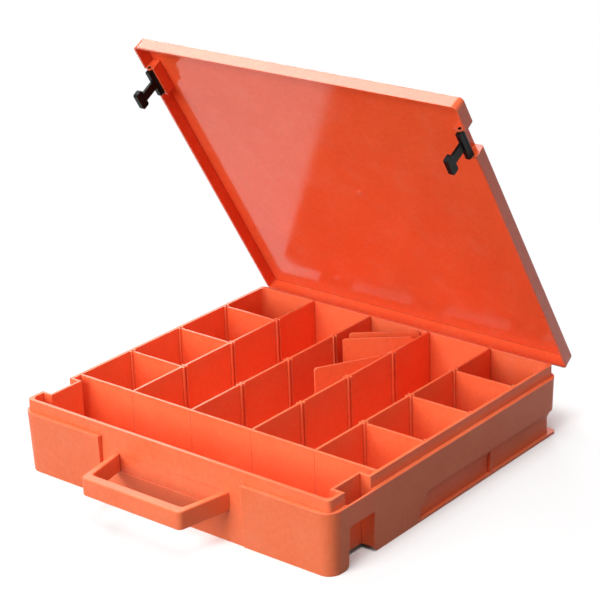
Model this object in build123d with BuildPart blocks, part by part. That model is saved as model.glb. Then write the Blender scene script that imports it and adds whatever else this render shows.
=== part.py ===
import math
import os

from build123d import *

os.makedirs("parts", exist_ok=True)

# Case, outside
case_width = 340.0
case_depth = 327.0
ledge_height = 56.0
corner_radius = 14.0
skirt_wall = 2.0
skirt_draft = 2.2
ledge_width = 4.5
lip_rise = 10.5
lip_corner_radius = 4.0

# Tray inside the skirt
tray_wall = 3.0
tray_corner_radius = 6.0
floor_thickness = 2.5
tray_underside = 4.0
web_thickness = 2.0
web_insets = (35.0, 65.0)

# How far the pieces of one moulding reach into each other, and cuts run past a face
overlap = 0.5
cut_margin = 1.0

# Compartments
partition_count = 4
partition_thickness = 2.2
front_wall_setback = 68.5
column_pitch = 67.0
row_count = 3
rear_row_shortfall = 9.0
sink_line_width = 1.0
sink_line_depth = 0.3
guide_width = 1.6
guide_depth = 2.0
guide_slot = 2.4

# Loose dividers
divider_thickness = 1.8
divider_gap = 0.3
divider_top_gap = 0.6
divider_corner = 2.0

# Spare dividers on the slant in the middle column: gap to its right wall, distance
# from the rear side, turn
spare_places = ((7.3, 29.2, 38.0), (5.1, 42.9, 40.0), (3.1, 102.1, 61.0))

# Handle and the recess behind it
recess_width = 156.0
recess_foot_inset = 3.0
recess_slope_height = 50.0
handle_root_width = 126.0
handle_bar_width = 108.0
handle_reach = 46.0
handle_below_ledge = 11.5
handle_height = 16.5
handle_strap = 5.0
handle_bar = 9.0
handle_outer_radius = 5.0
handle_inner_radius = 3.0
handle_edge_radius = 1.2

# Grooves low in both sides
groove_start = 118.0
groove_floor = 2.5
groove_top = 25.0
groove_wall = 1.5
groove_plate = 2.0
groove_rear_reach = 20.0
groove_slope_height = 8.0
groove_slope_angle = 25.0
groove_slant_length = 11.0
groove_slant_height = 13.0
groove_flange_radius = 4.0
groove_rib_setback = 223.0
groove_rib_top = 21.0

# Lid
lid_open_angle = 59.0
lid_overhang = 1.0
lid_gap = 0.3
lid_wall = 2.0
lid_corner_radius = 5.0
lid_headroom = 0.5
lid_draft = 3.0
lid_edge_radius = 2.0

# Hinge
hinge_behind = 7.0
hinge_below_ledge = 7.0
knuckle_radius = 4.5
hinge_spacing = 110.0
hinge_count = 3
lug_width = 8.0
arm_width = 16.0
arm_gap = 0.4
lug_drop = 17.0
lug_root_gap = 1.0
arm_root_low = 2.0
arm_root_high = 9.5
pin_radius = 2.0
pin_running_gap = 0.08
pin_seat_gap = 0.02
pin_overhang = 0.8

# Latch pockets and latches
pocket_center = 40.0
pocket_length = 28.5
pocket_wall = 1.8
pocket_inset = 8.5
channel_inset = 15.0
channel_wall = 2.2
channel_clearance = 0.4
channel_foot_radius = 5.0
bridge_wall = 2.0
bridge_height = 19.0
latch_pivot_inset = 5.1
latch_pivot_rise = 1.0
barrel_radius = 2.75
journal_radius = 1.6
journal_gap = 0.05
ear_radius = 2.6
barrel_end_gap = 0.3
bar_drop = 5.2
bar_thickness = 4.2
stem_width = 8.5
stem_thickness = 2.5
stem_inset = 0.65
hook_width = 17.0
hook_height = 8.0
hook_thickness = 4.5
hook_gap = 0.4
hook_side_gap = 0.5
hook_corner = 2.0

# Places worked out from the sizes
front_y = -case_depth / 2
rear_y = case_depth / 2
lip_top = ledge_height + lip_rise
lip_width = case_width - 2 * ledge_width
lip_depth = case_depth - 2 * ledge_width
tray_radius = corner_radius - ledge_width
inner_width = lip_width - 2 * tray_wall
inner_depth = lip_depth - 2 * tray_wall
floor_top = tray_underside + floor_thickness
ledge_underside = ledge_height - skirt_wall
front_wall_y = front_y + front_wall_setback
partition_rear_y = inner_depth / 2 + tray_wall / 2
partition_middle = (partition_count - 1) / 2
partition_xs = [column_pitch * (i - partition_middle) for i in range(partition_count)]
row_pitch = (inner_depth / 2 - front_wall_y + rear_row_shortfall) / (row_count + 1)
row_ys = [front_wall_y + row_pitch * (i + 1) for i in range(row_count)]
divider_top = lip_top - divider_top_gap
divider_bottom = floor_top + divider_gap
outer_column = inner_width / 2 - partition_middle * column_pitch - partition_thickness / 2
divider_length = outer_column - 2 * divider_gap
spare_divider_length = column_pitch - partition_thickness - 2 * divider_gap
handle_top = ledge_height - handle_below_ledge
hinge_y = rear_y + hinge_behind
hinge_z = ledge_height - hinge_below_ledge
hinge_xs = [hinge_spacing * (i - (hinge_count - 1) / 2) for i in range(hinge_count)]
lid_rim = ledge_height + lid_gap
lid_ceiling = lip_top + lid_headroom
lid_top = lid_ceiling + lid_wall
pocket_y = front_y + pocket_center
pocket_outer_length = pocket_length + 2 * pocket_wall
pocket_floor_x = case_width / 2 - pocket_inset
channel_length = pocket_outer_length + 2 * channel_clearance
channel_floor_x = case_width / 2 - channel_inset
bridge_inner_x = case_width / 2 - bridge_wall
bridge_bottom = ledge_height - bridge_height
latch_pivot_x = case_width / 2 - latch_pivot_inset
latch_pivot_z = ledge_height + latch_pivot_rise
skirt_foot_width = case_width - 2 * ledge_height * math.tan(math.radians(skirt_draft))
skirt_foot_depth = skirt_foot_width + case_depth - case_width
groove_front_y = front_y + groove_start
groove_length = case_depth - groove_start
groove_center_y = rear_y - groove_length / 2
groove_center_x = (case_width - groove_rear_reach) / 2
groove_face_x = inner_width / 2 + groove_wall


def lid_frame(angle):
    """The frame of the closed case, turned about the hinge axis as the lid is."""
    turn = math.radians(angle)
    y = hinge_y - hinge_y * math.cos(turn) - hinge_z * math.sin(turn)
    z = hinge_z + hinge_y * math.sin(turn) - hinge_z * math.cos(turn)
    return Plane(origin=(0, y, z), x_dir=(1, 0, 0), z_dir=(0, math.sin(turn), math.cos(turn)))


lid_plane = lid_frame(lid_open_angle)


def side_plane(frame, x):
    """A plane across the width of a frame, at x, with local axes y and z."""
    return Plane(frame.location * Plane.YZ.location).offset(x)


def box_between(x_range, y_range, z_range, mode=Mode.ADD):
    """A box given by its two ends on each axis."""
    x, y, z = [(high + low) / 2 for low, high in (x_range, y_range, z_range)]
    length, width, height = [high - low for low, high in (x_range, y_range, z_range)]
    with Locations((x, y, z)):
        Box(length, width, height, mode=mode)


def side_range(side, low, high):
    """The x range from low to high on the right side, mirrored for the left one."""
    return (side * low, side * high) if side > 0 else (side * high, side * low)


def around(middle, length):
    """The range of a length about its middle."""
    return (middle - length / 2, middle + length / 2)


def skirt_middle(half_size, z):
    """How far out the middle of the skirt's sloping wall is at a height."""
    return half_size - skirt_wall / 2 - (ledge_height - z) * math.tan(math.radians(skirt_draft))


# Space of the grooves low in both sides, under a sloping ceiling, slanted at the front
with BuildPart() as groove_space:
    with BuildSketch(Plane.XY.offset(groove_floor)):
        with Locations(
            (groove_center_x + cut_margin, groove_center_y + cut_margin),
            (-groove_center_x - cut_margin, groove_center_y + cut_margin),
        ):
            Rectangle(groove_rear_reach + 2 * cut_margin, groove_length + 2 * cut_margin)
        RectangleRounded(
            inner_width + 2 * groove_wall,
            inner_depth + 2 * groove_wall,
            tray_corner_radius + groove_wall,
            mode=Mode.SUBTRACT,
        )
    extrude(amount=groove_top - groove_floor)
    with BuildSketch(Plane.XY.offset(groove_top - groove_slope_height)):
        RectangleRounded(
            inner_width + 2 * groove_wall,
            inner_depth + 2 * groove_wall,
            tray_corner_radius + groove_wall,
        )
    extrude(amount=groove_slope_height, taper=-groove_slope_angle, mode=Mode.SUBTRACT)
    with BuildSketch(side_plane(Plane.XY, 0)):
        with BuildLine():
            Polyline(
                (groove_front_y, groove_top - groove_slant_height),
                (groove_front_y + groove_slant_length, groove_top),
                (groove_front_y + groove_slant_length, groove_top + cut_margin),
                (groove_front_y - cut_margin, groove_top + cut_margin),
                (groove_front_y - cut_margin, groove_top - groove_slant_height),
                close=True,
            )
        make_face()
    extrude(amount=case_width, both=True, mode=Mode.SUBTRACT)


# Base tray with its skirt, partitions and handle in one moulding
with BuildPart() as base_tray:
    # Skirt under the ledge, open from below
    with BuildSketch(Plane.XY.offset(ledge_height)):
        RectangleRounded(case_width, case_depth, corner_radius)
    extrude(amount=ledge_height, dir=(0, 0, -1), taper=skirt_draft)
    with BuildSketch(Plane.XY.offset(ledge_underside)):
        RectangleRounded(
            case_width - 2 * skirt_wall, case_depth - 2 * skirt_wall, corner_radius - skirt_wall
        )
    extrude(amount=ledge_underside, dir=(0, 0, -1), taper=skirt_draft, mode=Mode.SUBTRACT)

    # Tray walls, which stand above the ledge as the lip with tighter corners
    with BuildSketch(Plane.XY.offset(tray_underside)):
        RectangleRounded(lip_width, lip_depth, tray_radius)
    extrude(amount=ledge_height - tray_underside)
    with BuildSketch(Plane.XY.offset(ledge_underside)):
        RectangleRounded(lip_width, lip_depth, lip_corner_radius)
    extrude(amount=lip_top - ledge_underside)

    # Plates under and over the grooves, which run round the rear corners
    for low, high, radius in (
        (0, groove_floor, groove_flange_radius),
        (groove_top - groove_slope_height, groove_top + groove_plate, corner_radius - skirt_wall / 2),
    ):
        with BuildSketch(Plane.XY.offset(low)):
            RectangleRounded(skirt_foot_width, skirt_foot_depth, radius)
            RectangleRounded(inner_width, inner_depth, tray_corner_radius, mode=Mode.SUBTRACT)
            with Locations((groove_center_x, groove_center_y), (-groove_center_x, groove_center_y)):
                Rectangle(groove_rear_reach, groove_length + 2 * groove_plate, mode=Mode.INTERSECT)
        extrude(amount=high - low)
    with BuildSketch(Plane.XY):
        RectangleRounded(lip_width, lip_depth, tray_radius)
        RectangleRounded(inner_width, inner_depth, tray_corner_radius, mode=Mode.SUBTRACT)
        with Locations((groove_center_x, groove_center_y), (-groove_center_x, groove_center_y)):
            Rectangle(groove_rear_reach, groove_length + 2 * groove_plate, mode=Mode.INTERSECT)
    extrude(amount=tray_underside)

    # Ends of the grooves, and the rib across each
    for side in (-1, 1):
        box_between(
            side_range(side, groove_face_x - overlap, skirt_foot_width / 2),
            (groove_front_y - groove_plate, groove_front_y + groove_slant_length),
            (0, groove_top),
        )
        box_between(
            side_range(side, groove_center_x - groove_rear_reach / 2 - groove_plate, groove_center_x),
            (lip_depth / 2 - overlap, skirt_foot_depth / 2),
            (0, groove_top),
        )
    add(groove_space.part, mode=Mode.SUBTRACT)
    for side in (-1, 1):
        box_between(
            side_range(side, groove_face_x - groove_wall / 2, skirt_foot_width / 2 - overlap),
            around(front_y + groove_rib_setback, web_thickness),
            (groove_floor / 2, groove_rib_top),
        )

    # Blocks that the latch channels are cut into, out to the sloping skirt
    for side in (-1, 1):
        with BuildSketch(Plane.XZ.offset(-pocket_y)):
            with BuildLine():
                Polyline(
                    (side * (channel_floor_x - channel_wall), tray_underside),
                    (side * skirt_middle(case_width / 2, tray_underside), tray_underside),
                    (side * skirt_middle(case_width / 2, ledge_underside), ledge_underside),
                    (side * (lip_width - tray_wall) / 2, ledge_underside),
                    (side * (lip_width - tray_wall) / 2, lip_top),
                    (side * (channel_floor_x - channel_wall), lip_top),
                    close=True,
                )
            make_face()
        extrude(amount=channel_length / 2 + channel_wall, both=True)

    # Inside of the tray, which leaves the walls round the latch channels
    with BuildSketch(Plane.XY.offset(floor_top)):
        RectangleRounded(inner_width, inner_depth, tray_corner_radius)
        for side in (-1, 1):
            with Locations((side * (channel_floor_x - channel_wall + inner_width / 2) / 2, pocket_y)):
                Rectangle(
                    inner_width / 2 - channel_floor_x + channel_wall,
                    channel_length + 2 * channel_wall,
                    mode=Mode.SUBTRACT,
                )
    extrude(amount=lip_top - floor_top + cut_margin, mode=Mode.SUBTRACT)

    # Latch channels from the lip down, bridged by a strap of the skirt
    for side in (-1, 1):
        box_between(
            side_range(side, channel_floor_x, bridge_inner_x),
            around(pocket_y, channel_length),
            (-cut_margin, lip_top + cut_margin),
            mode=Mode.SUBTRACT,
        )
        with BuildSketch(side_plane(Plane.XY, side * bridge_inner_x)):
            with Locations((pocket_y, bridge_bottom / 2)):
                Rectangle(channel_length, bridge_bottom)
            with Locations((pocket_y, channel_foot_radius / 2)):
                Rectangle(channel_length + 2 * channel_foot_radius, channel_foot_radius)
            for end in (-1, 1):
                with Locations(
                    (pocket_y + end * (channel_length / 2 + channel_foot_radius), channel_foot_radius)
                ):
                    Circle(channel_foot_radius, mode=Mode.SUBTRACT)
        extrude(amount=ledge_width, both=True, mode=Mode.SUBTRACT)

    # Recess across the middle of the front, whose panel slopes out to the foot
    box_between(
        around(0, recess_width),
        (front_y - cut_margin, front_y + ledge_width),
        (-cut_margin, ledge_height + cut_margin),
        mode=Mode.SUBTRACT,
    )
    with BuildSketch(side_plane(Plane.XY, 0)):
        with BuildLine():
            Polyline(
                (front_y + recess_foot_inset, 0),
                (front_y + ledge_width, recess_slope_height),
                (front_y + ledge_width + overlap, recess_slope_height),
                (front_y + ledge_width + tray_wall, tray_underside),
                (front_y + ledge_width + tray_wall, 0),
                close=True,
            )
        make_face()
    extrude(amount=recess_width / 2 + skirt_wall, both=True)

    # Webs between the tray and the skirt, and the returns beside the recess
    webs = [
        (side * (case_width / 2 - inset), end, web_thickness, tray_underside)
        for inset in web_insets
        for side in (-1, 1)
        for end in (-1, 1)
    ]
    returns = [(side * (recess_width + skirt_wall) / 2, -1, skirt_wall, 0) for side in (-1, 1)]
    for x, end, thickness, low in webs + returns:
        with BuildSketch(side_plane(Plane.XY, x)):
            with BuildLine():
                Polyline(
                    (end * (lip_depth - tray_wall) / 2, low),
                    (end * skirt_middle(case_depth / 2, low), low),
                    (end * skirt_middle(case_depth / 2, ledge_underside), ledge_underside),
                    (end * (lip_depth - tray_wall) / 2, ledge_underside),
                    close=True,
                )
            make_face()
        extrude(amount=thickness / 2, both=True)

    # Partitions, and guides that hold the loose dividers upright
    with BuildSketch(Plane.XY.offset(floor_top - overlap)):
        with Locations((0, front_wall_y)):
            Rectangle(inner_width + tray_wall, partition_thickness)
        for x in partition_xs:
            with Locations((x, (front_wall_y + partition_rear_y) / 2)):
                Rectangle(partition_thickness, partition_rear_y - front_wall_y)
        for y in row_ys:
            for step in (-1, 1):
                guide_y = y + step * (guide_slot + guide_width) / 2
                for x in partition_xs:
                    with Locations((x, guide_y)):
                        Rectangle(partition_thickness + 2 * guide_depth, guide_width)
                for side in (-1, 1):
                    guide_x = side * (inner_width - guide_depth + groove_wall / 2) / 2
                    with Locations((guide_x, guide_y)):
                        Rectangle(guide_depth + groove_wall / 2, guide_width)
    extrude(amount=lip_top - floor_top + overlap)

    # Fine lines on the front wall, where the moulding sank at each partition
    front_wall_face = front_wall_y - partition_thickness / 2
    for x in partition_xs:
        box_between(
            around(x, sink_line_width),
            (front_wall_face - cut_margin, front_wall_face + sink_line_depth),
            (floor_top, lip_top - cut_margin),
            mode=Mode.SUBTRACT,
        )

    # Carrying handle, a strap loop in plan
    with BuildSketch(Plane.XY.offset(handle_top - handle_height)) as loop:
        with BuildLine():
            Polyline(
                (-handle_root_width / 2, front_y + ledge_width + overlap),
                (-handle_bar_width / 2, front_y - handle_reach),
                (handle_bar_width / 2, front_y - handle_reach),
                (handle_root_width / 2, front_y + ledge_width + overlap),
                close=True,
            )
        make_face()
        bar_corners = loop.vertices().group_by(Axis.Y)[0]
        fillet(bar_corners, handle_outer_radius)
    extrude(amount=handle_height)
    with BuildSketch(Plane.XY.offset(handle_top - handle_height)) as gap:
        with BuildLine():
            Polyline(
                (-handle_root_width / 2 + handle_strap, front_y + ledge_width),
                (-handle_bar_width / 2 + handle_strap, front_y - handle_reach + handle_bar),
                (handle_bar_width / 2 - handle_strap, front_y - handle_reach + handle_bar),
                (handle_root_width / 2 - handle_strap, front_y + ledge_width),
                close=True,
            )
        make_face()
        gap_corners = gap.vertices().group_by(Axis.Y)[0]
        fillet(gap_corners, handle_inner_radius)
    extrude(amount=handle_height, mode=Mode.SUBTRACT)
    handle_edges = (
        base_tray.edges()
        .filter_by_position(Axis.Y, front_y - handle_reach - cut_margin, front_y - cut_margin)
        .filter_by(Plane.XY)
    )
    fillet(handle_edges, handle_edge_radius)

    # Hinge lugs behind the rear wall, a pair for each pin
    for x in hinge_xs:
        for side in (-1, 1):
            lug_x = x + side * (arm_width + lug_width + 2 * arm_gap) / 2 - lug_width / 2
            with BuildSketch(side_plane(Plane.XY, lug_x)):
                with Locations((hinge_y, hinge_z)):
                    Circle(knuckle_radius)
                with Locations((rear_y - skirt_wall / 2, ledge_height - lug_root_gap - lug_drop / 2)):
                    Rectangle(overlap, lug_drop)
                make_hull()
                with Locations((hinge_y, hinge_z)):
                    Circle(pin_radius + pin_seat_gap, mode=Mode.SUBTRACT)
            extrude(amount=lug_width)
base_tray.part.label = "base_tray"
export_step(base_tray.part, "parts/base_tray.step")


# Lid, a shallow tray that fits over the lip, drawn closed in its own frame
with BuildPart(lid_plane) as lid:
    with BuildSketch(lid_plane.offset(lid_rim)):
        RectangleRounded(
            case_width + 2 * lid_overhang, case_depth + 2 * lid_overhang, lid_corner_radius
        )
    extrude(amount=lid_top - lid_rim, taper=lid_draft)
    fillet(lid.faces().sort_by(Axis(lid_plane.origin, lid_plane.z_dir))[-1].edges(), lid_edge_radius)
    with BuildSketch(lid_plane.offset(lid_rim)):
        RectangleRounded(
            case_width + 2 * (lid_overhang - lid_wall),
            case_depth + 2 * (lid_overhang - lid_wall),
            lid_corner_radius - lid_wall,
        )
    extrude(amount=lid_ceiling - lid_rim, taper=lid_draft, mode=Mode.SUBTRACT)

    # Pockets for the latches, open at the side and the top
    for side in (-1, 1):
        box_between(
            side_range(side, pocket_floor_x - pocket_wall, case_width / 2 + lid_overhang - lid_wall / 2),
            around(pocket_y, pocket_outer_length),
            (lid_rim, lid_ceiling + overlap),
        )
        box_between(
            side_range(side, pocket_floor_x, case_width / 2 + lid_overhang + cut_margin),
            around(pocket_y, pocket_length),
            (lid_rim - cut_margin, lid_top + cut_margin),
            mode=Mode.SUBTRACT,
        )

        # Ears with the holes that the latch turns in
        for end in (-1, 1):
            ear_y = pocket_y + end * (pocket_length + pocket_wall) / 2
            ear_plane = Plane(lid_plane.location * Plane.XZ.location).offset(-ear_y - pocket_wall / 2)
            with BuildSketch(ear_plane):
                with Locations((side * latch_pivot_x, latch_pivot_z)):
                    Circle(ear_radius)
            extrude(amount=pocket_wall)
            with BuildSketch(ear_plane):
                with Locations((side * latch_pivot_x, latch_pivot_z)):
                    Circle(journal_radius + journal_gap)
            extrude(amount=pocket_wall, mode=Mode.SUBTRACT)

    # Arms that reach back to the pins
    for x in hinge_xs:
        with BuildSketch(side_plane(lid_plane, x - arm_width / 2)):
            with Locations((hinge_y, hinge_z)):
                Circle(knuckle_radius)
            root_y = rear_y + lid_overhang - lid_wall / 2
            with Locations((root_y, lid_rim + (arm_root_low + arm_root_high) / 2)):
                Rectangle(overlap, arm_root_high - arm_root_low)
            make_hull()
            with Locations((hinge_y, hinge_z)):
                Circle(pin_radius + pin_running_gap, mode=Mode.SUBTRACT)
        extrude(amount=arm_width)
lid.part.label = "lid"
export_step(lid.part, "parts/lid.step")


# Steel pins of the hinge
def hinge_pin(x):
    length = arm_width + 2 * arm_gap + 2 * lug_width + 2 * pin_overhang
    with BuildPart() as pin:
        with BuildSketch(side_plane(Plane.XY, x - length / 2)):
            with Locations((hinge_y, hinge_z)):
                Circle(pin_radius)
        extrude(amount=length)
        chamfer(pin.edges().filter_by(GeomType.CIRCLE), pin_overhang / 2)
    return pin


for pin_name, pin_x in zip(("hinge_pin_left", "hinge_pin_middle", "hinge_pin_right"), hinge_xs):
    pin = hinge_pin(pin_x)
    pin.part.label = pin_name
    export_step(pin.part, f"parts/{pin_name}.step")


# Latch, an I shape whose bar turns in the pocket and whose hook goes under the bridge
def latch(side):
    barrel_length = pocket_length - 2 * barrel_end_gap
    hook_top = bridge_bottom - hook_gap
    hook_x = bridge_inner_x - hook_side_gap - hook_thickness
    stem_x = latch_pivot_x - stem_inset - stem_thickness / 2
    with BuildPart(lid_plane) as body:
        barrel_plane = Plane(lid_plane.location * Plane.XZ.location)
        with BuildSketch(barrel_plane.offset(-pocket_y - barrel_length / 2)):
            with Locations((side * latch_pivot_x, latch_pivot_z)):
                Circle(barrel_radius)
        extrude(amount=barrel_length)
        with BuildSketch(barrel_plane.offset(-pocket_y - pocket_outer_length / 2)):
            with Locations((side * latch_pivot_x, latch_pivot_z)):
                Circle(journal_radius)
        extrude(amount=pocket_outer_length)
        low_x = stem_x if side > 0 else -stem_x - bar_thickness
        with BuildSketch(side_plane(lid_plane, low_x)):
            with Locations((pocket_y, latch_pivot_z - bar_drop / 2)):
                Rectangle(barrel_length, bar_drop)
        extrude(amount=bar_thickness)
        low_x = stem_x if side > 0 else -stem_x - stem_thickness
        with BuildSketch(side_plane(lid_plane, low_x)):
            with Locations((pocket_y, (latch_pivot_z + hook_top) / 2)):
                Rectangle(stem_width, latch_pivot_z - hook_top)
        extrude(amount=stem_thickness)
        low_x = hook_x if side > 0 else -hook_x - hook_thickness
        with BuildSketch(side_plane(lid_plane, low_x)) as hook:
            with Locations((pocket_y, hook_top - hook_height / 2)):
                Rectangle(hook_width, hook_height)
            fillet(hook.vertices(), hook_corner)
        extrude(amount=hook_thickness)
    return body


for latch_name, side in (("latch_left", -1), ("latch_right", 1)):
    body = latch(side)
    body.part.label = latch_name
    export_step(body.part, f"parts/{latch_name}.step")


# Loose dividers, plates that drop between the guides
def divider(x, y, length, angle):
    turned = Plane.XY.rotated((0, 0, angle))
    turned.origin = (x, y, 0)
    upright = Plane(turned.location * Plane.XZ.location).offset(-divider_thickness / 2)
    with BuildPart() as plate:
        with BuildSketch(upright) as outline:
            with Locations((0, (divider_top + divider_bottom) / 2)):
                Rectangle(length, divider_top - divider_bottom)
            chamfer(outline.vertices(), divider_corner)
        extrude(amount=divider_thickness)
    return plate


column_x = inner_width / 2 - outer_column / 2
for side_name, side in (("left", -1), ("right", 1)):
    for number, row_y in enumerate(row_ys, start=1):
        plate = divider(side * column_x, row_y, divider_length, 0)
        plate.part.label = f"divider_{side_name}_{number}"
        export_step(plate.part, f"parts/divider_{side_name}_{number}.step")

# Spare dividers stored in the middle column
for number, (gap, setback, angle) in enumerate(spare_places, start=1):
    turn = math.radians(angle)
    reach = (spare_divider_length * math.cos(turn) + divider_thickness * math.sin(turn)) / 2
    x = (column_pitch - partition_thickness) / 2 - gap - reach
    plate = divider(x, rear_y - setback, spare_divider_length, angle)
    plate.part.label = f"spare_divider_{number}"
    export_step(plate.part, f"parts/spare_divider_{number}.step")
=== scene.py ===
import math
import bmesh
import bpy
from mathutils import Matrix, Vector


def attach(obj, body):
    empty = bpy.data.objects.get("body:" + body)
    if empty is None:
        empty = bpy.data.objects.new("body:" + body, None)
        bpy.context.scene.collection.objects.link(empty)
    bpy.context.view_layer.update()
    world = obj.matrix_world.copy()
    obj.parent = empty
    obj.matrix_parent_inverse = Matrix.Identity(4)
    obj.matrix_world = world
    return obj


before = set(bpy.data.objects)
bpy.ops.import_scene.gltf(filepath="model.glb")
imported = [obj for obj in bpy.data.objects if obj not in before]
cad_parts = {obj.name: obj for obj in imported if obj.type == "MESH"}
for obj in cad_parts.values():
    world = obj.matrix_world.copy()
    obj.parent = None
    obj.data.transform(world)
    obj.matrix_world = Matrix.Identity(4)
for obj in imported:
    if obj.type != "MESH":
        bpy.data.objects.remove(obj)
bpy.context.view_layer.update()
print("stage: frame loaded,", len(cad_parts), "nodes")


def millimetres(value):
    return value / 1000.0


def perMetre(spacingMm):
    # texture scale that gives one feature in this many millimetres
    return 1000.0 / spacingMm


def linearColour(hexValue):
    # sRGB hex to the linear values that the sockets take
    channels = [int(hexValue[i:i + 2], 16) / 255 for i in (1, 3, 5)]
    return [c / 12.92 if c <= 0.04045 else ((c + 0.055) / 1.055) ** 2.4 for c in channels] + [1.0]


def addNode(tree, kind, settings=None, inputs=None):
    # inputs holds a value, or a (node, socket name) pair to link from
    node = tree.nodes.new(kind)
    for name, value in (settings or {}).items():
        setattr(node, name, value)
    for name, value in (inputs or {}).items():
        if isinstance(value, tuple) and len(value) == 2 and hasattr(value[0], "outputs"):
            tree.links.new(value[0].outputs[value[1]], node.inputs[name])
        else:
            node.inputs[name].default_value = value
    return node


def newMaterial(name):
    material = bpy.data.materials.new(name)
    material.use_nodes = True
    material.node_tree.nodes.clear()
    return material, material.node_tree


def setRamp(node, stops):
    ramp = node.color_ramp
    while len(ramp.elements) > len(stops):
        ramp.elements.remove(ramp.elements[-1])
    while len(ramp.elements) < len(stops):
        ramp.elements.new(1.0)
    for element, (place, colour) in zip(ramp.elements, stops):
        element.position = place
        element.color = colour


# Polypropylene, injection moulded: a waxy, slightly translucent skin with a fine spark-eroded grain,
# faint clouds and mottling from the melt, patches rubbed paler where hands have been, a painted highlight
# along the outer edges and painted shade in the inner corners and lines
polypropylene = {
    "cloud": {"Scale": perMetre(70.0), "Detail": 3.0, "Roughness": 0.5},
    "mottle": {"Scale": perMetre(4.0), "Detail": 2.0, "Roughness": 0.6},
    "meltRange": {"From Min": 0.75, "From Max": 1.25},       # of clouds and mottling added up
    "rub": {"Scale": perMetre(26.0), "Detail": 7.0, "Roughness": 0.62},
    "rubRange": {"From Min": 0.5, "From Max": 0.8, "To Max": 0.08},
    # the paler tone of the rubbed patches, which is also the painted highlight on the outer edges
    "rubAndEdgeHighlightColour": "#FFC8B2",
    # the real grain is about 0.3 mm, drawn coarser so that it shows
    "grain": {"Scale": perMetre(1.6), "Detail": 2.0, "Roughness": 0.6},
    "grainBump": {"Strength": 0.5, "Distance": millimetres(0.035)},
    # painted highlight along the outer edges, where a rounded normal turns away from the flat one
    "edgeSamples": 6,
    "edgeRadius": millimetres(0.55),
    "edgeHighlightRange": {"From Min": 0.99, "From Max": 0.82},       # of the cosine between rounded and flat normal
    # painted shade that darkens inner corners and lines
    "creaseSamples": 8,
    "creaseReach": millimetres(1.5),
    "creaseShadeRange": {"From Min": 0.95, "From Max": 0.35, "To Max": 0.5},
    "creaseShadeColour": "#9C2A14",
    "openRange": {"From Min": 0.85, "From Max": 1.0},
    "roughRange": {"From Min": 0.3, "From Max": 0.7},        # of the rubbed pattern
    "smootherBy": 0.03,
    "rougherBy": 0.05,
    "resin": {"IOR": 1.49, "Subsurface Weight": 0.35, "Subsurface Radius": (1.0, 0.2, 0.1)},
}

# The tray and the dividers are satin, the lid is polished inside and matt on its outer face,
# and the stub of the gate is cut, not moulded, so it is paler
# edge sets how strong the painted highlight on the outer edges is
finishes = {
    "tray": {"body": "#FB7D4E", "deep": "#F67244", "roughness": 0.46, "gloss": 0.4,
             "scatterMm": 3.0, "edge": 0.5},
    "lid": {"body": "#FB6C3F", "deep": "#F46337", "roughness": 0.13, "gloss": 0.35,
            "scatterMm": 3.0, "edge": 0.5, "outerRoughness": 0.5},
    "divider": {"body": "#FB7849", "deep": "#F46C3F", "roughness": 0.42, "gloss": 0.35,
                "scatterMm": 3.0, "edge": 0.5},
    "cut gate": {"body": "#FF7C58", "deep": "#FB7450", "roughness": 0.4, "gloss": 0.2,
                 "scatterMm": 0.1, "edge": 0.08},
}

# Which way the lid's outer face looks, with the lid open as photographed
lidOutward = (0.0, 0.8572, 0.515)
lidOuterRange = {"From Min": 0.7, "From Max": 0.95}          # of the cosine to lidOutward


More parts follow.
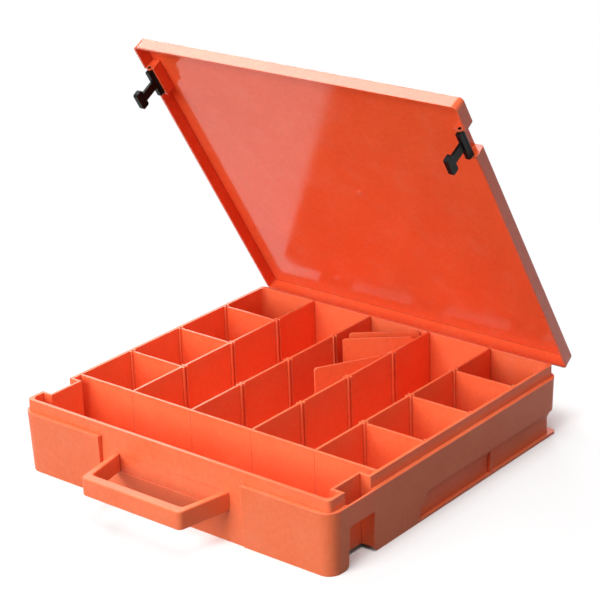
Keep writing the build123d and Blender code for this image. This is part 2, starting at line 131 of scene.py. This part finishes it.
def polypropyleneMoulded(name):
    finish = finishes[name]
    material, tree = newMaterial("polypropylene " + name)
    place = addNode(tree, "ShaderNodeTexCoord")
    cloud = addNode(tree, "ShaderNodeTexNoise", None, {
        "Vector": (place, "Object"), **polypropylene["cloud"]})
    mottle = addNode(tree, "ShaderNodeTexNoise", None, {
        "Vector": (place, "Object"), **polypropylene["mottle"]})
    melt = addNode(tree, "ShaderNodeMath", {"operation": "ADD"}, {0: (cloud, "Fac"), 1: (mottle, "Fac")})
    meltShare = addNode(tree, "ShaderNodeMapRange", None, {
        "Value": (melt, "Value"), **polypropylene["meltRange"]})
    meltColour = addNode(tree, "ShaderNodeMix", {"data_type": "RGBA"}, {
        "Factor": (meltShare, "Result"),
        "A": linearColour(finish["deep"]), "B": linearColour(finish["body"])})
    # rubbed patches: broad and soft
    rub = addNode(tree, "ShaderNodeTexNoise", None, {"Vector": (place, "Object"), **polypropylene["rub"]})
    rubAmount = addNode(tree, "ShaderNodeMapRange", None, {"Value": (rub, "Fac"), **polypropylene["rubRange"]})
    # painted highlight on outer edges: where a rounded normal leaves the face's own, and nothing stands close
    # by
    rounded = addNode(tree, "ShaderNodeBevel", {"samples": polypropylene["edgeSamples"]}, {
        "Radius": polypropylene["edgeRadius"]})
    faceNormal = addNode(tree, "ShaderNodeNewGeometry")
    turned = addNode(tree, "ShaderNodeVectorMath", {"operation": "DOT_PRODUCT"}, {
        0: (rounded, "Normal"), 1: (faceNormal, "Normal")})
    edge = addNode(tree, "ShaderNodeMapRange", None, {
        "Value": (turned, "Value"), "To Max": finish["edge"], **polypropylene["edgeHighlightRange"]})
    openness = addNode(tree, "ShaderNodeAmbientOcclusion", {
        "samples": polypropylene["creaseSamples"], "only_local": True}, {
        "Distance": polypropylene["creaseReach"]})
    outer = addNode(tree, "ShaderNodeMapRange", None, {
        "Value": (openness, "AO"), **polypropylene["openRange"]})
    # painted shade in inner corners and lines, where the occlusion finds walls close by
    inner = addNode(tree, "ShaderNodeMapRange", None, {
        "Value": (openness, "AO"), **polypropylene["creaseShadeRange"]})
    # painted highlight on outer edges, kept off inner corners
    paintedEdgeHighlight = addNode(tree, "ShaderNodeMath", {"operation": "MULTIPLY"}, {
        0: (edge, "Result"), 1: (outer, "Result")})
    rubAndEdgeHighlight = addNode(tree, "ShaderNodeMath", {"operation": "ADD", "use_clamp": True}, {
        0: (paintedEdgeHighlight, "Value"), 1: (rubAmount, "Result")})
    # rubbed patches and the painted edge highlight, both in the paler tone
    rubAndEdgeHighlightColour = addNode(tree, "ShaderNodeMix", {"data_type": "RGBA"}, {
        "Factor": (rubAndEdgeHighlight, "Value"),
        "A": (meltColour, "Result"), "B": linearColour(polypropylene["rubAndEdgeHighlightColour"])})
    # the painted shade darkens the colour in inner corners and lines
    colour = addNode(tree, "ShaderNodeMix", {"data_type": "RGBA"}, {
        "Factor": (inner, "Result"),
        "A": (rubAndEdgeHighlightColour, "Result"), "B": linearColour(polypropylene["creaseShadeColour"])})
    rough = addNode(tree, "ShaderNodeMapRange", None, {
        "Value": (rub, "Fac"), "To Min": finish["roughness"] - polypropylene["smootherBy"],
        "To Max": finish["roughness"] + polypropylene["rougherBy"], **polypropylene["roughRange"]})
    if "outerRoughness" in finish:
        outward = addNode(tree, "ShaderNodeVectorMath", {"operation": "DOT_PRODUCT"}, {
            0: (place, "Normal"), 1: lidOutward})
        rough = addNode(tree, "ShaderNodeMapRange", None, {
            "Value": (outward, "Value"), "To Min": (rough, "Result"),
            "To Max": finish["outerRoughness"], **lidOuterRange})
    grain = addNode(tree, "ShaderNodeTexNoise", None, {"Vector": (place, "Object"), **polypropylene["grain"]})
    bump = addNode(tree, "ShaderNodeBump", None, {
        "Height": (grain, "Fac"), "Normal": (rounded, "Normal"), **polypropylene["grainBump"]})
    shader = addNode(tree, "ShaderNodeBsdfPrincipled", None, {
        "Base Color": (colour, "Result"), "Roughness": (rough, "Result"), "Normal": (bump, "Normal"),
        "Specular IOR Level": finish["gloss"], "Subsurface Scale": millimetres(finish["scatterMm"]),
        **polypropylene["resin"]})
    addNode(tree, "ShaderNodeOutputMaterial", None, {"Surface": (shader, "BSDF")})
    return material


trayPlastic = polypropyleneMoulded("tray")
lidPlastic = polypropyleneMoulded("lid")
dividerPlastic = polypropyleneMoulded("divider")
gatePlastic = polypropyleneMoulded("cut gate")
print("stage: case plastics made")


# Polyamide, moulded black: deep and even, with a soft satin shine, rubbed slightly grey in use
polyamide = {
    "colours": ((0.35, "#060606"), (0.6, "#0B0B0C"), (0.8, "#18181A")),
    "rub": {"Scale": perMetre(5.0), "Detail": 5.0, "Roughness": 0.65},
    "roughness": {"From Min": 0.3, "From Max": 0.7, "To Min": 0.34, "To Max": 0.5},
    # the real grain is about 0.2 mm, drawn coarser so that it shows
    "grain": {"Scale": perMetre(0.9), "Detail": 2.0},
    "grainBump": {"Strength": 0.4, "Distance": millimetres(0.02)},
    "edgeSamples": 4,
    "edgeRadius": millimetres(0.4),
    "resin": {"IOR": 1.53, "Specular IOR Level": 0.12},
}


def polyamideMoulded(name):
    material, tree = newMaterial(name)
    place = addNode(tree, "ShaderNodeTexCoord")
    rub = addNode(tree, "ShaderNodeTexNoise", None, {"Vector": (place, "Object"), **polyamide["rub"]})
    colour = addNode(tree, "ShaderNodeValToRGB", None, {"Fac": (rub, "Fac")})
    setRamp(colour, [(at, linearColour(tint)) for at, tint in polyamide["colours"]])
    rough = addNode(tree, "ShaderNodeMapRange", None, {"Value": (rub, "Fac"), **polyamide["roughness"]})
    edge = addNode(tree, "ShaderNodeBevel", {"samples": polyamide["edgeSamples"]}, {
        "Radius": polyamide["edgeRadius"]})
    grain = addNode(tree, "ShaderNodeTexNoise", None, {"Vector": (place, "Object"), **polyamide["grain"]})
    bump = addNode(tree, "ShaderNodeBump", None, {
        "Height": (grain, "Fac"), "Normal": (edge, "Normal"), **polyamide["grainBump"]})
    shader = addNode(tree, "ShaderNodeBsdfPrincipled", None, {
        "Base Color": (colour, "Color"), "Roughness": (rough, "Result"), "Normal": (bump, "Normal"),
        **polyamide["resin"]})
    addNode(tree, "ShaderNodeOutputMaterial", None, {"Surface": (shader, "BSDF")})
    return material


# Drawn steel wire: a plain grey metal, bright in its gloss, with fine lines along the pin, which lies along X
drawnSteel = {
    "colours": ((0.3, "#8F8F90"), (0.7, "#BDBDBC")),
    "stretch": (0.02, 1.0, 1.0),
    "lines": {"Scale": perMetre(0.12), "Detail": 3.0},
    "lineBump": {"Strength": 0.3, "Distance": millimetres(0.01)},
    "roughness": {"To Min": 0.22, "To Max": 0.42},
    "metallic": 1.0,
}


def drawnSteelWire(name):
    material, tree = newMaterial(name)
    place = addNode(tree, "ShaderNodeTexCoord")
    stretched = addNode(tree, "ShaderNodeMapping", None, {
        "Vector": (place, "Object"), "Scale": drawnSteel["stretch"]})
    lines = addNode(tree, "ShaderNodeTexNoise", None, {"Vector": (stretched, "Vector"), **drawnSteel["lines"]})
    colour = addNode(tree, "ShaderNodeValToRGB", None, {"Fac": (lines, "Fac")})
    setRamp(colour, [(at, linearColour(tint)) for at, tint in drawnSteel["colours"]])
    rough = addNode(tree, "ShaderNodeMapRange", None, {"Value": (lines, "Fac"), **drawnSteel["roughness"]})
    bump = addNode(tree, "ShaderNodeBump", None, {"Height": (lines, "Fac"), **drawnSteel["lineBump"]})
    shader = addNode(tree, "ShaderNodeBsdfPrincipled", None, {
        "Base Color": (colour, "Color"), "Roughness": (rough, "Result"), "Normal": (bump, "Normal"),
        "Metallic": drawnSteel["metallic"]})
    addNode(tree, "ShaderNodeOutputMaterial", None, {"Surface": (shader, "BSDF")})
    return material


latchPlastic = polyamideMoulded("polyamide latch")
pinSteel = drawnSteelWire("drawn steel pin")
print("stage: latch and pin finishes made")


def finishNode(name, material):
    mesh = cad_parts[name].data
    mesh.materials.clear()
    mesh.materials.append(material)


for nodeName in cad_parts:
    if nodeName == "base_tray":
        finishNode(nodeName, trayPlastic)
    elif nodeName == "lid":
        finishNode(nodeName, lidPlastic)
    elif "divider" in nodeName:
        finishNode(nodeName, dividerPlastic)
    elif nodeName.startswith("latch"):
        finishNode(nodeName, latchPlastic)
    else:
        finishNode(nodeName, pinSteel)
print("stage: finishes put on the nodes")


# Gate mark, in millimetres: the stub where the runner was cut off, in a shallow ring on the lid's inner face
gateMark = {
    "at": (7.2, 92.4, 213.9),                                # with the lid open as photographed
    "ringRadius": 3.1, "ringHeight": 0.35, "rootDepth": 0.3,
    "ringWidth": 0.7, "dishDepth": 0.25, "dishWidth": 1.2, "stubHeight": 0.5,
    "edgeRadius": 0.08, "edgeSegments": 2,
    "sides": 40, "smoothDegrees": 35,
}


def placedAndTurned(at, turn):
    return Matrix.Translation(at) @ turn.to_matrix().to_4x4()


def selectTopFace(mesh):
    bm = bmesh.from_edit_mesh(mesh)
    for vert in bm.verts:
        vert.select = False
    highest = max(bm.faces, key=lambda face: face.calc_center_median().z)
    for face in bm.faces:
        face.select = face == highest
    bm.select_flush_mode()
    bmesh.update_edit_mesh(mesh)


def makeGateMark(material):
    bpy.ops.object.select_all(action="DESELECT")
    bpy.ops.mesh.primitive_cylinder_add(
        vertices=gateMark["sides"], radius=millimetres(gateMark["ringRadius"]),
        depth=millimetres(gateMark["rootDepth"] + gateMark["ringHeight"]),
        location=(0, 0, millimetres(gateMark["ringHeight"] - gateMark["rootDepth"]) / 2))
    mark = bpy.context.object
    mark.name = "lid_gate_mark"
    bpy.ops.object.transform_apply(location=True, rotation=True, scale=True)
    bpy.ops.object.mode_set(mode="EDIT")
    bpy.ops.mesh.select_mode(type="FACE")
    selectTopFace(mark.data)
    bpy.ops.mesh.inset(thickness=millimetres(gateMark["ringWidth"]))
    bpy.ops.mesh.extrude_region_move(
        TRANSFORM_OT_translate={"value": (0, 0, -millimetres(gateMark["dishDepth"]))})
    bpy.ops.mesh.inset(thickness=millimetres(gateMark["dishWidth"]))
    bpy.ops.mesh.extrude_region_move(
        TRANSFORM_OT_translate={"value": (0, 0, millimetres(gateMark["stubHeight"]))})
    bpy.ops.object.mode_set(mode="OBJECT")
    bevel = mark.modifiers.new("softEdges", "BEVEL")
    bevel.width = millimetres(gateMark["edgeRadius"])
    bevel.segments = gateMark["edgeSegments"]
    bpy.ops.object.modifier_apply(modifier="softEdges")
    bpy.ops.object.shade_smooth_by_angle(angle=math.radians(gateMark["smoothDegrees"]))
    # the mark stands up from the inner face, which looks the other way than the outer one
    turn = Vector((0, 0, 1)).rotation_difference(-Vector(lidOutward))
    mark.matrix_world = placedAndTurned([millimetres(v) for v in gateMark["at"]], turn)
    bpy.ops.object.transform_apply(location=True, rotation=True, scale=True)
    mark.data.materials.append(material)
    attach(mark, "lid")


makeGateMark(gatePlastic)
print("stage: gate mark made")


# Floor and backdrop in one sheet of white paper, which shows a light shadow. The shading gives how much
# of the paper's own shade shows, by metres from the case: all of it underneath, none far away, and more
# of it in the case's own gloss, which looks at the floor from close by
stage = {
    "half": 6.0,
    "whiteColour": "#FFFFFF", "whiteStrength": 1.0,
    "paperColour": "#FAFAFA", "bounceColour": "#3C3C3C",
    "underCentre": (0.0, 0.02, 0.0), "underHalf": (0.16, 0.18, 1.0),
    "shading": ((0.0, 1.0), (0.03, 0.32), (0.2, 0.18), (0.6, 0.0)),
    "mirroredShading": ((0.0, 1.0), (0.3, 1.0), (0.8, 0.0)),
}


def addSeenShare(tree, rays):
    # 1 where the camera sees a surface straight, in gloss or through glass, and 0 for light that bounces
    seen = addNode(tree, "ShaderNodeMath", {"operation": "ADD", "use_clamp": True}, {
        0: (rays, "Is Camera Ray"), 1: (rays, "Is Glossy Ray")})
    return addNode(tree, "ShaderNodeMath", {"operation": "ADD", "use_clamp": True}, {
        0: (seen, "Value"), 1: (rays, "Is Transmission Ray")})


def paperSweep():
    bpy.ops.object.select_all(action="DESELECT")
    bpy.ops.mesh.primitive_plane_add(size=2 * stage["half"], location=(0, 0, 0))
    floor = bpy.context.object
    floor.name = "floor"
    material, tree = newMaterial("white paper sweep")
    rays = addNode(tree, "ShaderNodeLightPath")
    seen = addSeenShare(tree, rays)
    bounced = addNode(tree, "ShaderNodeBsdfDiffuse", None, {"Color": linearColour(stage["bounceColour"])})
    shaded = addNode(tree, "ShaderNodeBsdfDiffuse", None, {"Color": linearColour(stage["paperColour"])})
    bright = addNode(tree, "ShaderNodeEmission", None, {
        "Color": linearColour(stage["whiteColour"]), "Strength": stage["whiteStrength"]})
    place = addNode(tree, "ShaderNodeTexCoord")
    offset = addNode(tree, "ShaderNodeVectorMath", {"operation": "SUBTRACT"}, {
        0: (place, "Object"), 1: stage["underCentre"]})
    sideways = addNode(tree, "ShaderNodeVectorMath", {"operation": "ABSOLUTE"}, {0: (offset, "Vector")})
    beyond = addNode(tree, "ShaderNodeVectorMath", {"operation": "SUBTRACT"}, {
        0: (sideways, "Vector"), 1: stage["underHalf"]})
    outside = addNode(tree, "ShaderNodeVectorMath", {"operation": "MAXIMUM"}, {
        0: (beyond, "Vector"), 1: (0, 0, 0)})
    away = addNode(tree, "ShaderNodeVectorMath", {"operation": "LENGTH"}, {0: (outside, "Vector")})
    shading = addNode(tree, "ShaderNodeValToRGB", None, {"Fac": (away, "Value")})
    setRamp(shading, [(metres, (level, level, level, 1)) for metres, level in stage["shading"]])
    mirrored = addNode(tree, "ShaderNodeValToRGB", None, {"Fac": (away, "Value")})
    setRamp(mirrored, [(metres, (level, level, level, 1)) for metres, level in stage["mirroredShading"]])
    share = addNode(tree, "ShaderNodeMix", {"data_type": "RGBA"}, {
        "Factor": (rays, "Is Glossy Ray"), "A": (shading, "Color"), "B": (mirrored, "Color")})
    paper = addNode(tree, "ShaderNodeMixShader", None, {
        "Fac": (share, "Result"), 1: (bright, "Emission"), 2: (shaded, "BSDF")})
    shader = addNode(tree, "ShaderNodeMixShader", None, {
        "Fac": (seen, "Value"), 1: (bounced, "BSDF"), 2: (paper, "Shader")})
    addNode(tree, "ShaderNodeOutputMaterial", None, {"Surface": (shader, "Shader")})
    floor.data.materials.append(material)


paperSweep()


# Light: a large soft lamp at the front, one high at the left whose image lies on the lid's rim, one overhead,
# a lower one behind at the left whose image lies on all level tops, and a plain pale sky
lamps = {
    "front": {"at": (-0.5, -2.9, 1.35), "size": 1.8, "watts": 82.0},
    "highLeft": {"at": (-1.85, 0.4, 2.6), "size": 1.2, "watts": 36.0},
    "overhead": {"at": (0.4, -0.7, 2.8), "size": 1.2, "watts": 42.0},
    "rim": {"at": (-1.8, 2.0, 1.4), "size": 1.2, "watts": 28.0},
}
lampAim = Vector((0.0, 0.0, 0.1))
sky = {"colour": "#FFFFFF", "strength": 0.27, "seenStrength": 1.0}

for lampName, lamp in lamps.items():
    data = bpy.data.lights.new(lampName, "AREA")
    data.shape = "SQUARE"
    data.size = lamp["size"]
    data.energy = lamp["watts"]
    lampObject = bpy.data.objects.new(lampName, data)
    bpy.context.scene.collection.objects.link(lampObject)
    aim = lampAim - Vector(lamp["at"])
    lampObject.matrix_world = placedAndTurned(lamp["at"], aim.to_track_quat("-Z", "Y"))

world = bpy.data.worlds.new("pale sky")
bpy.context.scene.world = world
world.use_nodes = True
skyTree = world.node_tree
skyTree.nodes.clear()
skyRays = addNode(skyTree, "ShaderNodeLightPath")
skySeen = addSeenShare(skyTree, skyRays)
skyStrength = addNode(skyTree, "ShaderNodeMapRange", None, {
    "Value": (skySeen, "Value"), "To Min": sky["strength"], "To Max": sky["seenStrength"]})
skyShader = addNode(skyTree, "ShaderNodeBackground", None, {
    "Color": linearColour(sky["colour"]), "Strength": (skyStrength, "Result")})
addNode(skyTree, "ShaderNodeOutputWorld", None, {"Surface": (skyShader, "Background")})
print("stage: floor, lamps and sky set")


# Camera, solved from the photograph: it circles the pivot by azimuth and elevation, stands off and aside
# in metres, and is turned about its own axis by the roll, in degrees
camera = {
    "azimuth": 39.571, "elevation": 21.944, "roll": -1.995,
    "distance": 1.7066, "right": 0.10776, "up": 0.18324,
    "pivot": (0.0, -0.165, 0.0),
    "lens": 124.326, "sensorWidth": 36.0, "clipEnd": 50.0,
}


def cameraMatrix():
    azimuth, elevation, roll = (math.radians(camera[k]) for k in ("azimuth", "elevation", "roll"))
    back = Vector((
        math.sin(azimuth) * math.cos(elevation),
        -math.cos(azimuth) * math.cos(elevation),
        math.sin(elevation)))
    level = (-back).cross(Vector((0, 0, 1))).normalized()
    high = level.cross(-back)
    right = level * math.cos(roll) + high * math.sin(roll)
    up = high * math.cos(roll) - level * math.sin(roll)
    place = Vector(camera["pivot"]) + back * camera["distance"] + right * camera["right"] + up * camera["up"]
    turned = Matrix((right, up, back)).transposed().to_4x4()
    return Matrix.Translation(place) @ turned


cameraData = bpy.data.cameras.new("camera")
cameraData.sensor_width = camera["sensorWidth"]
cameraData.lens = camera["lens"]
cameraData.clip_end = camera["clipEnd"]
cameraObject = bpy.data.objects.new("camera", cameraData)
bpy.context.scene.collection.objects.link(cameraObject)
cameraObject.matrix_world = cameraMatrix()
bpy.context.scene.camera = cameraObject
bpy.context.scene.view_settings.view_transform = "Standard"
print("stage: camera set")
